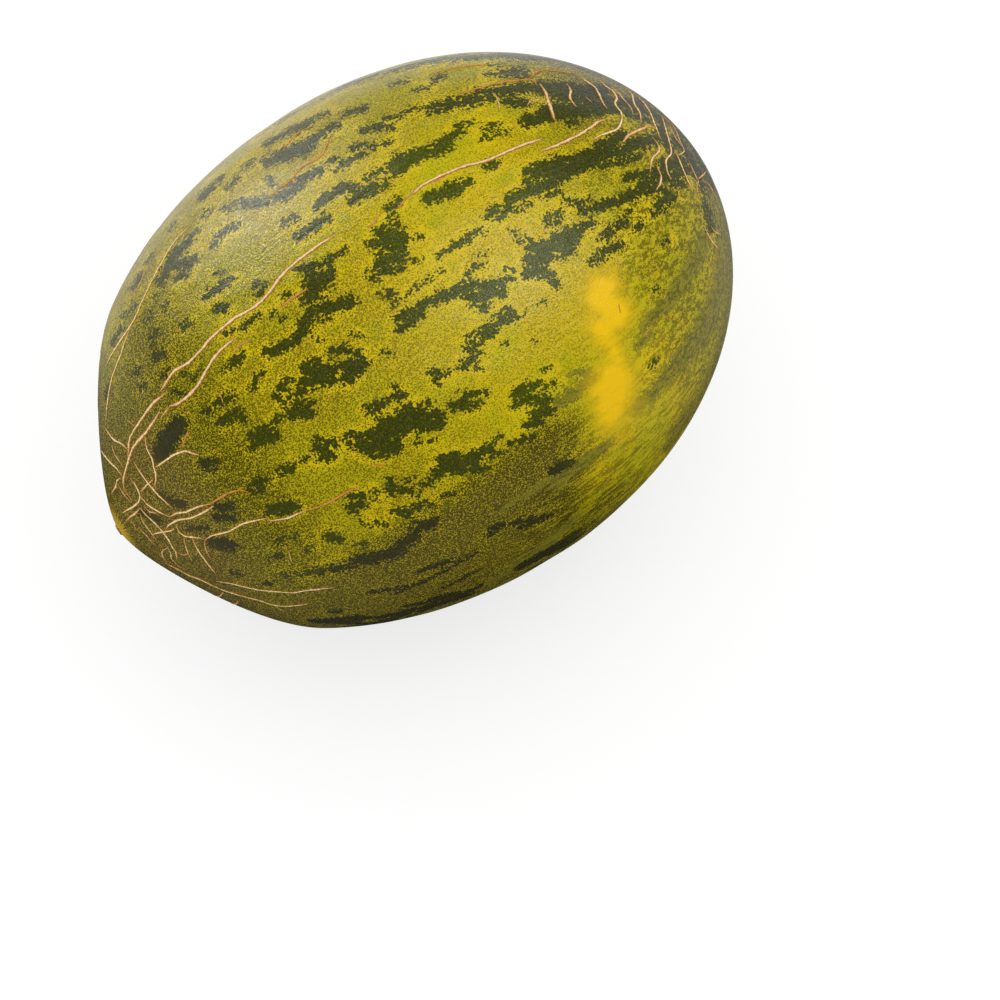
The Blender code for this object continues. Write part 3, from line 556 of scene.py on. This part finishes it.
def places_seen(pixels):
    """The (station, angle) that each pixel sees, or where its sight line passes nearest the rind."""
    own = PLACE.inverted()
    eye = np.array(own @ EYE)
    turn = np.array(own.to_3x3())
    depths = SIGHT_DISTANCE + np.linspace(-SEARCH_REACH, SEARCH_REACH, SEARCH_STEPS)
    places = []
    for across, down in pixels:
        way = AHEAD * FOCAL + ACROSS * (across - PICTURE_MIDDLE) - ABOVE * (down - PICTURE_MIDDLE)
        points = eye + np.outer(depths, turn @ np.array(way.normalized()))
        stations = np.clip(points[:, 0] + LENGTH / 2, 0.0, LENGTH)
        clear = np.hypot(points[:, 1], points[:, 2]) - rind_radius(stations)
        clear += np.abs(points[:, 0] + LENGTH / 2 - stations)
        touched = np.flatnonzero(clear < 0)
        found = touched[0] if len(touched) else int(np.argmin(clear))
        angle = math.atan2(-points[found, 1], points[found, 2])
        places.append((float(stations[found]), angle))
    return places


def mesh_object(name, bm, material):
    """Makes a smooth object of a bmesh, its shape in place and its origin at the world's."""
    mesh = bpy.data.meshes.new(name)
    bm.to_mesh(mesh)
    bm.free()
    mesh.shade_smooth()
    mesh.materials.append(material)
    made = bpy.data.objects.new(name, mesh)
    bpy.context.scene.collection.objects.link(made)
    return made


def pushed_out(bm, faces, opened):
    """Extrudes faces and gives the moved ones; where opened, the old ones are taken away."""
    moved = bmesh.ops.extrude_face_region(bm, geom=faces)["geom"]
    if opened:
        bmesh.ops.delete(bm, geom=faces, context="FACES_ONLY")
    return [item for item in moved if isinstance(item, bmesh.types.BMFace)]


# The rind


def rind_outline():
    """Half the fruit's outline from the scar button to the stem scar, as (station, radius)."""
    level = BUTTON_AT + SEAT_DEPTH
    outline = [(level, 0.0), (level, BUTTON_RADIUS * SEAT_SHARE), (BUTTON_AT, BUTTON_RADIUS)]
    for band in range(1, RIND_BANDS):
        turn = 0.5 - 0.5 * math.cos(math.pi * band / RIND_BANDS)
        station = BUTTON_AT + (DIMPLE_AT - BUTTON_AT) * turn
        outline.append((station, float(rind_radius(station))))
    return outline + [(DIMPLE_AT + beyond, DIMPLE_RADIUS * share) for beyond, share in DIMPLE_LIP]


def rind_mesh():
    """The turned rind with its lobes and furrows, cut to the flat spot it rests on."""
    bm = bmesh.new()
    verts = [bm.verts.new((station - LENGTH / 2, 0, radius)) for station, radius in rind_outline()]
    edges = [bm.edges.new(pair) for pair in zip(verts, verts[1:])]
    bmesh.ops.spin(bm, geom=verts + edges, cent=(0, 0, 0), axis=(1, 0, 0), angle=2 * math.pi,
                   steps=RIND_SIDES, use_merge=True)
    bmesh.ops.remove_doubles(bm, verts=bm.verts, dist=ONE_POINT)
    points = np.array([vert.co for vert in bm.verts])
    radius = np.hypot(points[:, 1], points[:, 2])
    out = swell(points[:, 0] + LENGTH / 2, np.arctan2(-points[:, 1], points[:, 2]))
    grown = np.where(radius > EVEN_UP_TO, 1 + out / np.maximum(radius, BUTTON_RADIUS), 1.0)
    for vert, size in zip(bm.verts, grown):
        vert.co.yz *= size
    bmesh.ops.recalc_face_normals(bm, faces=bm.faces)
    bm.transform(PLACE)
    cut = bmesh.ops.bisect_plane(bm, geom=bm.verts[:] + bm.edges[:] + bm.faces[:],
                                 dist=ON_THE_CUT, plane_co=(0, 0, 0), plane_no=(0, 0, -1),
                                 clear_outer=True)
    rim = [item for item in cut["geom_cut"] if isinstance(item, bmesh.types.BMEdge)]
    bmesh.ops.contextual_create(bm, geom=rim)
    bmesh.ops.recalc_face_normals(bm, faces=bm.faces)
    return bm


def depth_in_marks(points, marks):
    """How far each point lies inside the nearest mark's edge; negative outside. A mark is a stroke
    with two ends and a half width, in the points' own units."""
    best = np.full(len(points), -1e3)
    for start, end, half_width in marks:
        start, run = np.array(start, float), np.array(end, float) - np.array(start, float)
        share = np.clip((points - start) @ run / max(run @ run, 1e-12), 0.0, 1.0)
        away = np.linalg.norm(points - start - share[:, None] * run, axis=1)
        best = np.maximum(best, half_width - away)
    return best


def picture_depth(pixels, strokes, wider=0.0):
    """How far, in millimetres, pixels lie inside the strokes listed in the picture."""
    marks = []
    for half_width, *flat in strokes:
        marks += [(start, end, half_width + wider) for start, end in pairs(pairs(flat))]
    return depth_in_marks(pixels, marks) * (PIXEL / MILLIMETRE)


def smooth(value, low, high):
    """0 below low, 1 above high, and a soft step between them. High may be the lower one."""
    share = np.clip((value - low) / (high - low), 0.0, 1.0)
    return share * share * (3 - 2 * share)


def far_side_marks(seed, count, sizes, lengths):
    """Random marks over the whole rind, drawn out from end to end, as strokes in the world."""
    draws = random.Random(seed)
    marks = []
    for _ in range(count):
        station = LENGTH * (0.5 - 0.5 * math.cos(math.pi * draws.uniform(*MARK_PLACES)))
        angle = draws.uniform(-math.pi, math.pi)
        half_width = draws.uniform(*sizes)
        drift = draws.uniform(-STROKE_DRIFT, STROKE_DRIFT)
        for _ in range(draws.randint(*MARK_STROKES)):
            length = draws.uniform(*lengths)
            ahead = min(LAST_STROKE_END, station + length)
            turned = angle + angle_of(drift * length, station)
            ends = [PLACE @ on_rind(*place) for place in ((station, angle), (ahead, turned))]
            marks.append((ends[0], ends[1], half_width * draws.uniform(*STROKE_WIDTHS)))
            station = min(LAST_STROKE_START, station + length * draws.uniform(*STROKE_ADVANCE))
            sidestep = draws.uniform(-STROKE_SIDESTEP, STROKE_SIDESTEP) * half_width
            angle = turned + angle_of(sidestep, station)
            drift = draws.uniform(-STROKE_DRIFT, STROKE_DRIFT)
    return marks


def below_pattern(pixels):
    """How far below the listed pattern's lower edge pixels lie; negative above it."""
    edge = np.array(PATTERN_EDGE, float)
    return pixels[:, 1] - np.interp(pixels[:, 0], edge[:, 0], edge[:, 1], right=PATTERN_GOES_ON)


def crowding_and_shade(stations, normals, pixels, turned_away):
    """How crowded with olive specks, and how brown, the skin is: 0 is clear, 1.4 the brownest.
    Painted shade raises it low down and above the pattern's lower edge; painted light lowers it facing
    left.
    """
    shaded = smooth(below_pattern(pixels), *SHADE_DOWN) * smooth(pixels[:, 0], *SHADE_LEFT)
    shaded *= 1 - turned_away
    underside_shade = np.maximum(smooth(normals[:, 2], *FACING_LOW), shaded)
    behind, left = normals[:, 1], -(normals @ np.array(RIGHTWARDS))

    def share(most, low, high, value=stations):
        return most * smooth(value, low, high)

    # Painted shade: low down and above the pattern's lower edge the skin takes the darker, browner look
    # of crowded skin
    crowd_and_shade = share(*CROWDED_TIP)
    for other in (share(*CROWDED_BEFORE_TIP), underside_shade * share(*UNDERSIDE_SHADE_PAINTED),
                  shaded * share(*EDGE_SHADE_PAINTED), share(*CROWDED_STEM),
                  share(*DARKER_BEHIND, behind)):
        crowd_and_shade = np.maximum(crowd_and_shade, other)
    # Painted light: lighter where the rind faces left
    crowd_and_shade -= share(*LIGHT_PAINTED_LEFT, left)
    crowd_and_shade += np.maximum(*[share(*end) for end in CROWDED_AT_ENDS])
    return crowd_and_shade + share(*DARKER_BEHIND_STEM) * smooth(behind, *BEHIND_STEM)


def paint_rind(mesh):
    """Stores the rind's pattern on its points, with the painted shade and light that go with it, as
    depths and weights that the material reads.
    """
    flat = np.empty(len(mesh.vertices) * 3)
    mesh.vertices.foreach_get("co", flat)
    points = flat.reshape(-1, 3).copy()
    mesh.vertices.foreach_get("normal", flat)
    normals = flat.reshape(-1, 3)
    pixels = pixels_of(points)
    towards = np.array(EYE) - points
    towards /= np.linalg.norm(towards, axis=1)[:, None]
    facing = np.sum(towards * normals, axis=1)
    turned_away = smooth(facing, *TURNING_AWAY)
    unlisted = np.maximum(turned_away, smooth(below_pattern(pixels), 0.0, EDGE_FADE))
    own = (points - np.array(PLACE.translation)) @ np.array(PLACE.inverted().to_3x3()).T
    stations = own[:, 0] + LENGTH / 2
    angles = np.arctan2(-own[:, 1], own[:, 2])

    def listed_or_far(seen, far_values):
        far = depth_in_marks(points, far_side_marks(*far_values)) / MILLIMETRE
        depth = np.maximum(seen - FADE * turned_away, far - FADE * (1 - unlisted))
        return np.clip(depth, *DEPTHS_KEPT)

    patch = picture_depth(pixels, GROUND_PATCH) - PATCH_FADE * smooth(facing, *PATCH_TURNING_AWAY)
    rays = sum(share * np.sin(waves * angles + turn) for waves, turn, share in TIP_RAYS)
    from_axis = np.hypot(own[:, 1], own[:, 2]) / MILLIMETRE
    tip = smooth(from_axis + TIP_RAY_REACH * rays, *TIP_RING)
    tip[stations > LENGTH / 2] = 0.0
    amounts = {
        # The blotches and the bands also carry painted shade along the fruit's outline
        "blotch_and_edge_shade": listed_or_far(picture_depth(pixels, BLOTCHES_AND_EDGE_SHADE, BLOTCHES_WIDER), FAR_BLOTCHES),
        "band": listed_or_far(picture_depth(pixels, OLIVE_BANDS_AND_EDGE_SHADE), FAR_BANDS),
        "patch": np.clip(patch, *PATCH_DEPTHS_KEPT),
        "tip": tip,
        # painted shade and light, carried with the specks' crowding
        "crowd_and_shade": crowding_and_shade(stations, normals, pixels, turned_away),
        "drawn": smooth(normals @ np.array(RIGHTWARDS), *FACING_RIGHT),
    }
    for name, values in amounts.items():
        layer = mesh.attributes.new(name, "FLOAT", "POINT")
        layer.data.foreach_set("value", values.astype(np.float32))


# The cork


def far_side_lines():
    """Cork lines on the side away from the picture: they start near an end and wander inwards."""
    draws = random.Random(FAR_SIDE_SEED)
    lines = []
    ends = ((TIP_LINES, TIP_LINES_START, 1), (STEM_LINES, LENGTH - STEM_LINES_START, -1))
    for count, first_station, inwards in ends:
        for number in range(count):
            share = (number + draws.uniform(*WITHIN_SHARE)) / count
            angle = math.radians(FAR_SIDE_FROM + FAR_SIDE_SPAN * share)
            station = first_station + inwards * draws.uniform(0.0, START_SPREAD)
            drift = draws.uniform(-FIRST_DRIFT, FIRST_DRIFT)
            line = [(station, angle)]
            for _ in range(draws.randint(*KNOTS)):
                station += inwards * draws.uniform(*KNOT_STEPS)
                drift = DRIFT_KEPT * drift + draws.uniform(-DRIFT_CHANGE, DRIFT_CHANGE)
                angle += angle_of(drift * KNOT_STEP, station)
                line.append((station, angle))
            lines.append(line)
    return lines


def curve_through(knots, step):
    """Points a step apart on a smooth curve through the knots."""
    ends = [knots[0] * 2 - knots[1]] + knots + [knots[-1] * 2 - knots[-2]]
    points = [knots[0]]
    for before, start, end, after in zip(ends, ends[1:], ends[2:], ends[3:]):
        pieces = max(1, round((end - start).length / step))
        for piece in range(1, pieces + 1):
            t = piece / pieces
            points.append(0.5 * (2 * start + (end - before) * t
                                 + (2 * before - 5 * start + 4 * end - after) * t ** 2
                                 + (3 * start - 3 * end + after - before) * t ** 3))
    return points


def nearest_order(verts, ring):
    """The verts in the order of the ring that they still lie on."""
    return [min(verts, key=lambda vert: (vert.co - old.co).length) for old in ring]


def cork_line(places, half_width, ripe, draws):
    """One cork line drawn along the rind: raised, cracked along its crest, thin at both ends."""
    points = curve_through([on_rind(*place) for place in places], CORK_STEP)
    section = list(CORK_SECTION) + [(-across, up) for across, up in reversed(CORK_SECTION[:-1])]
    bm = bmesh.new()
    crest = bm.verts.layers.float.new("crest")
    ripeness = bm.verts.layers.float.new("ripe")
    ring = [bm.verts.new((across, up, 0)) for across, up in section]
    front = [bm.faces.new(ring)]
    last = len(points) - 1
    for number, point in enumerate(points):
        station = min(CORK_STATIONS[1], max(CORK_STATIONS[0], point.x + LENGTH / 2))
        angle = math.atan2(-point.y, point.z)
        out = rind_normal(station, angle)
        onward = points[min(number + 1, last)] - points[max(number - 1, 0)]
        side = onward.cross(out).normalized()
        from_end = min(number, last - number) * CORK_STEP
        taper = CORK_END_SHARE + (1 - CORK_END_SHARE) * min(1.0, from_end / CORK_TAPER)
        size = half_width * taper * draws.uniform(*CORK_WIDTHS)
        wander = draws.uniform(-CORK_WANDER, CORK_WANDER) * half_width
        middle = on_rind(station, angle) + side * wander
        if number:
            front = pushed_out(bm, front, number > 1)
            ring = nearest_order(list(front[0].verts), ring)
        for vert, (across, up) in zip(ring, section):
            height = up * size * CORK_HEIGHT_SHARE * draws.uniform(*CORK_HEIGHTS)
            vert.co = middle + side * across * size + out * height
            vert[crest] = max(0.0, 1 - abs(across))
            vert[ripeness] = ripe * min(1.0, YOUNG_SHARE + from_end / RIPENING)
    bmesh.ops.recalc_face_normals(bm, faces=bm.faces)
    bm.transform(PLACE)
    return bm


def cork_net(material):
    """All the cork lines as one piece."""
    draws = random.Random(CORK_SEED)
    lines = [(places_seen(pairs(flat)), kind) for kind, *flat in CORK_LINES_SEEN]
    lines += [(places, draws.choice(FAR_SIDE_KINDS)) for places in far_side_lines()]
    whole = bmesh.new()
    part = bpy.data.meshes.new("cork line")
    for places, kind in lines:
        bm = cork_line(places, *CORK_KINDS[kind], draws)
        bm.to_mesh(part)
        bm.free()
        whole.from_mesh(part)
    bpy.data.meshes.remove(part)
    return mesh_object("cork_net", whole, material)


def scar(name, station, facing, rings, sides, draws, material):
    """A round scar across the axis: rings of (radius, height) joined outwards, a little uneven."""
    bm = bmesh.new()
    bmesh.ops.create_circle(bm, cap_ends=True, segments=sides, radius=rings[0][0])
    face = bm.faces[:]
    for radius, height in rings[1:]:
        face = pushed_out(bm, face, True)
        for vert in face[0].verts:
            way = Vector((vert.co.x, vert.co.y, 0)).normalized()
            out = way * radius * draws.uniform(*SCAR_RADII)
            vert.co = out + Vector((0, 0, height * draws.uniform(*SCAR_HEIGHTS)))
    bmesh.ops.recalc_face_normals(bm, faces=bm.faces)
    bm.transform(Matrix.Rotation(math.radians(90) * facing, 4, "Y"))
    bm.transform(Matrix.Translation((station - LENGTH / 2, 0, 0)))
    bm.transform(PLACE)
    return mesh_object(name, bm, material)


# Materials


def feed(socket, value):
    """Joins an output to an input, or sets the input to a number or colour."""
    if isinstance(value, bpy.types.NodeSocket):
        socket.id_data.links.new(value, socket)
    else:
        socket.default_value = value


def add(tree, kind, inputs=(), **settings):
    """A new node with the properties given, and its inputs fed from pairs of name and value."""
    made = tree.nodes.new(kind)
    for name, value in settings.items():
        setattr(made, name, value)
    for name, value in inputs:
        feed(made.inputs[name], value)
    return made


def reckon(operation, first, *others):
    values = enumerate((first, *others))
    made = add(first.id_data, "ShaderNodeMath", values, operation=operation)
    return made.outputs["Value"]


def plus(first, *others):
    for other in others:
        first = reckon("ADD", first, other)
    return first


def times(first, *others):
    for other in others:
        first = reckon("MULTIPLY", first, other)
    return first


def spread(share, width):
    """A share from 0 to 1 spread over a width, half of it below 0."""
    return reckon("MULTIPLY_ADD", share, width, -width / 2)


def step_between(value, low, high, start=0.0, end=1.0):
    """A soft step of a value: start at low or below, end at high or above."""
    names = ("Value", "From Min", "From Max", "To Min", "To Max")
    inputs = zip(names, (value, low, high, start, end))
    made = add(value.id_data, "ShaderNodeMapRange", inputs, interpolation_type="SMOOTHSTEP")
    return made.outputs["Result"]


def blend(share, first, second):
    """A colour between two, by a share from 0 to 1 or by a step as (value, low, high, start, end)."""
    if isinstance(share, tuple):
        share = step_between(*share)
    inputs = (("Factor", share), ("A", first), ("B", second))
    return add(share.id_data, "ShaderNodeMix", inputs, data_type="RGBA").outputs["Result"]


def cloud(place, scale, detail=1.0, roughness=0.5, warp=0.0):
    """Noise about 1 / scale metres across."""
    inputs = (("Vector", place), ("Scale", scale), ("Detail", detail), ("Roughness", roughness),
              ("Distortion", warp))
    return add(place.id_data, "ShaderNodeTexNoise", inputs).outputs["Fac"]


def dots(place, scale):
    """Distance from the nearest of many scattered spots, about 1 / scale metres apart: 0 at a spot."""
    inputs = (("Vector", place), ("Scale", scale))
    return add(place.id_data, "ShaderNodeTexVoronoi", inputs).outputs["Distance"]


def painted(tree, name):
    return add(tree, "ShaderNodeAttribute", attribute_name=name).outputs["Fac"]


def object_place(tree):
    return add(tree, "ShaderNodeTexCoord").outputs["Object"]


def along_axis(place, stretch):
    """Coordinates turned to the fruit's own axes and drawn out along its axis."""
    for change in (("Rotation", (0, TILT, 0)), ("Scale", (1 / stretch, 1, 1))):
        inputs = (("Vector", place), change)
        made = add(place.id_data, "ShaderNodeMapping", inputs, vector_type="POINT")
        place = made.outputs["Vector"]
    return place


def new_material(name, roughness, shine):
    """A material with its roughness and its gloss set; also its node tree and its shader."""
    material = bpy.data.materials.new(name)
    material.use_nodes = True
    shader = material.node_tree.nodes["Principled BSDF"]
    shader.inputs["Roughness"].default_value = roughness
    shader.inputs["Specular IOR Level"].default_value = shine
    return material, material.node_tree, shader


def finish_surface(shader, colour, height, distance, strength):
    """Gives a shader its colour and its bumps."""
    feed(shader.inputs["Base Color"], colour)
    inputs = (("Strength", strength), ("Distance", distance), ("Height", height))
    bumps = add(shader.id_data, "ShaderNodeBump", inputs)
    feed(shader.inputs["Normal"], bumps.outputs["Normal"])


def grain_group():
    """Fine uneven grain that cork and scars share: a shade from 0 to 1 and a height."""
    tree = bpy.data.node_groups.new("grain", "ShaderNodeTree")
    for name, way in (("Scale", "INPUT"), ("Contrast", "INPUT"), ("Shade", "OUTPUT"),
                      ("Height", "OUTPUT")):
        tree.interface.new_socket(name, in_out=way, socket_type="NodeSocketFloat")
    given = add(tree, "NodeGroupInput").outputs
    noise = cloud(object_place(tree), given["Scale"], 4.0)
    centred = reckon("SUBTRACT", noise, 0.5)
    sharper = reckon("MULTIPLY_ADD", centred, given["Contrast"], 0.5)
    shade = add(tree, "ShaderNodeClamp", (("Value", sharper),)).outputs["Result"]
    add(tree, "NodeGroupOutput", (("Shade", shade), ("Height", noise)))
    return tree


def grain(tree, group, scale, contrast):
    """The shade and the height of the shared grain."""
    inputs = (("Scale", scale), ("Contrast", contrast))
    made = add(tree, "ShaderNodeGroup", inputs, node_tree=group)
    return made.outputs["Shade"], made.outputs["Height"]


def rind_material():
    """Yellow skin crowded with olive specks, ragged dark green blotches over it, and a waxy gloss.
    Painted shade darkens it low down, above the pattern's lower edge and along its outline; painted
    light brightens it facing left.
    """
    material, tree, shader = new_material("mottled rind", 0.32, 0.12)
    place = object_place(tree)
    broad = cloud(place, 34.0, 2.0)
    patchy = cloud(along_axis(place, 2.0), 120.0, 2.0)
    fine = cloud(place, 2300.0, 0.0, warp=0.8)
    ragged = cloud(along_axis(place, 1.4), 680.0, 2.0, 0.6)
    streaks = cloud(along_axis(place, 12.0), 620.0, 2.0)
    strips = cloud(along_axis(place, 4.5), 640.0, 3.0, 0.65)
    # How crowded the specks are, with painted shade low down and at the pattern's edge and painted
    # light on the left
    crowd_and_shade = painted(tree, "crowd_and_shade")
    # The blotches' depth, with painted shade along the top outline in it
    blotch_and_edge_shade = painted(tree, "blotch_and_edge_shade")

    # The skin between its specks, clearest beside the blotches, and darker where the crowding carries
    # painted shade
    yellow = blend((broad, 0.36, 0.62), linear(188, 178, 1), linear(205, 176, 1))
    yellow = blend((patchy, 0.52, 0.70), yellow, linear(180, 172, 2))
    yellow = blend((crowd_and_shade, 0.2, 0.9), yellow, linear(164, 150, 3))
    yellow = blend((crowd_and_shade, 0.9, 1.4), yellow, linear(158, 138, 36))
    clear = times(step_between(blotch_and_edge_shade, -4.0, -0.8),
                  step_between(patchy, 0.42, 0.58),
                  step_between(crowd_and_shade, 0.5, 1.2, 0.8, 0.2))
    yellow = blend(clear, yellow, linear(210, 183, 1))

    # Its specks: the level that fine noise must stay below, and that noise
    # The speck level follows the crowding, and so the painted shade and light in it too
    crowded = plus(crowd_and_shade, spread(broad, 0.9))
    level = step_between(crowded, -0.3, 1.3, 0.43, 0.60)
    level = reckon("SUBTRACT", level, times(clear, 0.08))
    uneven = plus(spread(streaks, 0.6), spread(strips, 1.9))
    spotted = plus(fine, spread(dots(place, 1500.0), 0.24),
                   times(uneven, painted(tree, "drawn")))
    specks = step_between(reckon("SUBTRACT", level, spotted), -0.06, 0.06)
    olive = blend((crowd_and_shade, 0.1, 0.9), linear(146, 135, 2), linear(73, 68, 3))
    olive = blend((crowd_and_shade, 0.9, 1.4), olive, linear(76, 66, 20))
    skin = blend(specks, yellow, olive)

    # The olive bands, and the painted shade along the fruit's outline that they carry
    edge_noise = plus(spread(ragged, 5.0), spread(dots(place, 1150.0), -3.0))
    band_and_edge_shade_depth = plus(spread(streaks, 3.0), spread(strips, 8.0), edge_noise,
                      painted(tree, "band"))
    band_and_edge_shade_colour = blend((spotted, 0.36, 0.62), linear(92, 90, 24), linear(134, 125, 27))
    skin = blend((band_and_edge_shade_depth, -0.3, 0.4, 0.0, 0.9), skin, band_and_edge_shade_colour)

    # The yellow patch
    patch_depth = plus(spread(patchy, 8.0), spread(ragged, 4.0),
                       painted(tree, "patch"))
    skin = blend((patch_depth, -7.5, -1.5, 0.0, 0.5), skin, linear(206, 172, 2))
    skin = blend((patch_depth, -3.2, 2.2), skin, linear(236, 192, 1))

    # The dark blotches, browner where the skin is crowded and where painted shade darkens it
    flecks = step_between(fine, 0.50, 0.68)
    dark = blend(flecks, linear(61, 68, 2), linear(97, 101, 5))
    deep = blend(flecks, linear(52, 57, 8), linear(82, 83, 9))
    dark = blend((crowd_and_shade, 0.1, 0.5), dark, deep)
    dense_and_shaded = blend(flecks, linear(42, 42, 14), linear(66, 62, 18))
    dark = blend((crowd_and_shade, 0.7, 1.05), dark, dense_and_shaded)
    dark = blend((crowd_and_shade, 1.15, 1.45), dark, linear(66, 56, 16))
    colour = blend((plus(blotch_and_edge_shade, edge_noise), -0.25, 0.35), skin, dark)

    colour = blend(painted(tree, "tip"), colour, linear(204, 166, 40))
    feed(shader.inputs["Roughness"], step_between(streaks, 0.3, 0.7, 0.22, 0.29))
    height = reckon("MULTIPLY_ADD", fine, 0.6, streaks)
    finish_surface(shader, colour, height, 0.0004, 0.6)
    return material


def cork_material(grain_tree):
    """Dry cork: cream along the crest, amber at its foot and where the line is young, deepening to
    brown where it meets the rind, partly its own colour and partly painted shade.
    """
    material, tree, shader = new_material("cork", 0.72, 0.2)
    shade, height = grain(tree, grain_tree, 1100.0, 3.5)
    crest = plus(painted(tree, "crest"), spread(shade, 0.3))
    cream = blend(shade, linear(226, 198, 138), linear(246, 230, 176))
    amber = blend(shade, linear(182, 106, 22), linear(212, 140, 44))
    # Brown at the line's foot, where the crest share is low: partly the cork's own colour, partly
    # painted shade beside the raised line
    young = blend((crest, -0.1, 0.4), linear(146, 96, 28), amber)
    ripe = times(step_between(crest, 0.16, 0.48), painted(tree, "ripe"))
    finish_surface(shader, blend(ripe, young, cream), height, 0.0004, 0.6)
    return material


def scar_material(name, grain_tree, dark, pale, scale):
    """Dry woody scar tissue."""
    material, tree, shader = new_material(name, 0.8, 0.5)
    shade, height = grain(tree, grain_tree, scale, 4.0)
    finish_surface(shader, blend(shade, dark, pale), height, 0.0008, 0.8)
    return material


# The picture's floor, lights and camera

FLOOR_SIZE = 4.0
FLOOR_BELOW = 0.0002
# The floor's own glow and white in the picture; the dull floor that lights the fruit from below, and
# the pale one behind the fruit that its gloss mirrors
FLOOR_GLOW = 0.65
FLOOR_WHITE = (0.38, 0.38, 0.38, 1)
FLOOR_UNDER = (0.04, 0.04, 0.04, 1)
FLOOR_BEHIND = (0.90, 0.90, 0.90, 1)
# Where the floor grows pale for the fruit's gloss, and on the right for its light: which way, over
# what stretch, and how much
PALE_IN_GLOSS = (((0.10, 0.99, 0.0), 0.03, 0.22, 1.0), ((0.95, -0.30, 0.0), 0.10, 0.26, 0.7),
                 ((-0.75, -0.66, 0.0), 0.08, 0.26, 0.7))
PALE_IN_LIGHT = (((1.0, 0.0, 0.0), -0.02, 0.16, 0.60), ((-0.75, 0.66, 0.0), 0.07, 0.18, 0.9))
# How much the pale floor adds to its gloss by a glow of its own
PALE_GLOW = 0.15
# The room's light, and how bright it is in the rind's gloss
ROOM_LIGHT = 1.09
ROOM_MIRRORED = 0.0
# Soft boxes that only the gloss mirrors: azimuth, elevation, distance, width, height and brightness
BACK_LIGHT = (-170, 20, 1.6, 0.42, 0.80, 38.0)
OVERHEAD_LIGHT = (52, 58, 1.8, 0.9, 0.9, 18.0)


def pale_share(tree, stretches):
    """How pale the floor is, the most of what the stretches give: way, start, end and share."""
    most = 0.0
    for way, start, end, share in stretches:
        inputs = enumerate((object_place(tree), way))
        along = add(tree, "ShaderNodeVectorMath", inputs, operation="DOT_PRODUCT").outputs["Value"]
        most = reckon("MAXIMUM", step_between(along, start, end, 0.0, share), most)
    return most


def floor():
    bm = bmesh.new()
    bmesh.ops.create_grid(bm, x_segments=1, y_segments=1, size=FLOOR_SIZE)
    bm.transform(Matrix.Translation((0, 0, -FLOOR_BELOW)))
    material, tree, shader = new_material("white floor", 0.9, 0.1)
    path = add(tree, "ShaderNodeLightPath").outputs
    in_gloss = pale_share(tree, PALE_IN_GLOSS)
    pale = blend(path["Is Glossy Ray"], pale_share(tree, PALE_IN_LIGHT), in_gloss)
    unseen = blend(pale, FLOOR_UNDER, FLOOR_BEHIND)
    feed(shader.inputs["Base Color"], blend(path["Is Camera Ray"], unseen, FLOOR_WHITE))
    shader.inputs["Emission Color"].default_value = (1, 1, 1, 1)
    sheen = times(path["Is Glossy Ray"], in_gloss, PALE_GLOW)
    glow = reckon("MULTIPLY_ADD", path["Is Camera Ray"], FLOOR_GLOW, sheen)
    feed(shader.inputs["Emission Strength"], glow)
    mesh_object("floor", bm, material)


def show(name, data, place, turn):
    """Puts a light or a camera in the scene."""
    made = bpy.data.objects.new(name, data)
    made.location = place
    made.rotation_euler = turn.to_euler()
    bpy.context.scene.collection.objects.link(made)
    return made


def soft_light(name, azimuth, elevation, distance, width, height, brightness):
    """A rectangular soft box that faces the fruit's middle and shows only in its gloss."""
    way = way_towards(math.radians(azimuth), math.radians(elevation))
    lamp = bpy.data.lights.new(name, "AREA")
    lamp.shape = "RECTANGLE"
    lamp.size = width
    lamp.size_y = height
    lamp.energy = brightness * math.pi * width * height
    made = show(name, lamp, PLACE.translation + way * distance, way.to_track_quat("Z", "Y"))
    made.visible_diffuse = False


def lights():
    world = bpy.data.worlds.new("white room")
    world.use_nodes = True
    world.cycles.sampling_method = "NONE"
    tree = world.node_tree
    background = tree.nodes["Background"]
    background.inputs["Color"].default_value = (1, 1, 1, 1)
    mirrored = add(tree, "ShaderNodeLightPath").outputs["Is Glossy Ray"]
    strength = step_between(mirrored, 0.0, 1.0, ROOM_LIGHT, ROOM_MIRRORED)
    feed(background.inputs["Strength"], strength)
    bpy.context.scene.world = world
    soft_light("back light", *BACK_LIGHT)
    soft_light("overhead light", *OVERHEAD_LIGHT)
    bpy.context.scene.view_settings.view_transform = "Standard"


def camera():
    """The picture's own view of the fruit."""
    data = bpy.data.cameras.new("camera")
    data.sensor_width = SENSOR_WIDTH
    data.lens = SENSOR_WIDTH * FOCAL / PICTURE_SIZE
    bpy.context.scene.camera = show("camera", data, EYE, AHEAD.to_track_quat("-Z", "Y"))


def build():
    grain_tree = grain_group()
    draws = random.Random(SCAR_SEED)
    rind = mesh_object("rind", rind_mesh(), rind_material())
    paint_rind(rind.data)
    net = cork_net(cork_material(grain_tree))
    woody = scar_material("tip scar", grain_tree, linear(126, 92, 40), linear(196, 152, 78), 1500.0)
    tip = scar("tip_scar", BUTTON_AT, -1, TIP_SCAR, TIP_SCAR_SIDES, draws, woody)
    woody = scar_material("stem scar", grain_tree, linear(112, 90, 54), linear(176, 148, 100), 1700.0)
    stem = scar("stem_scar", DIMPLE_AT - DIMPLE_DEPTH, 1, STEM_SCAR, STEM_SCAR_SIDES, draws, woody)
    for piece in (rind, net, tip, stem):
        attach(piece, "root")
        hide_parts("melon")


floor()
lights()
camera()
build()
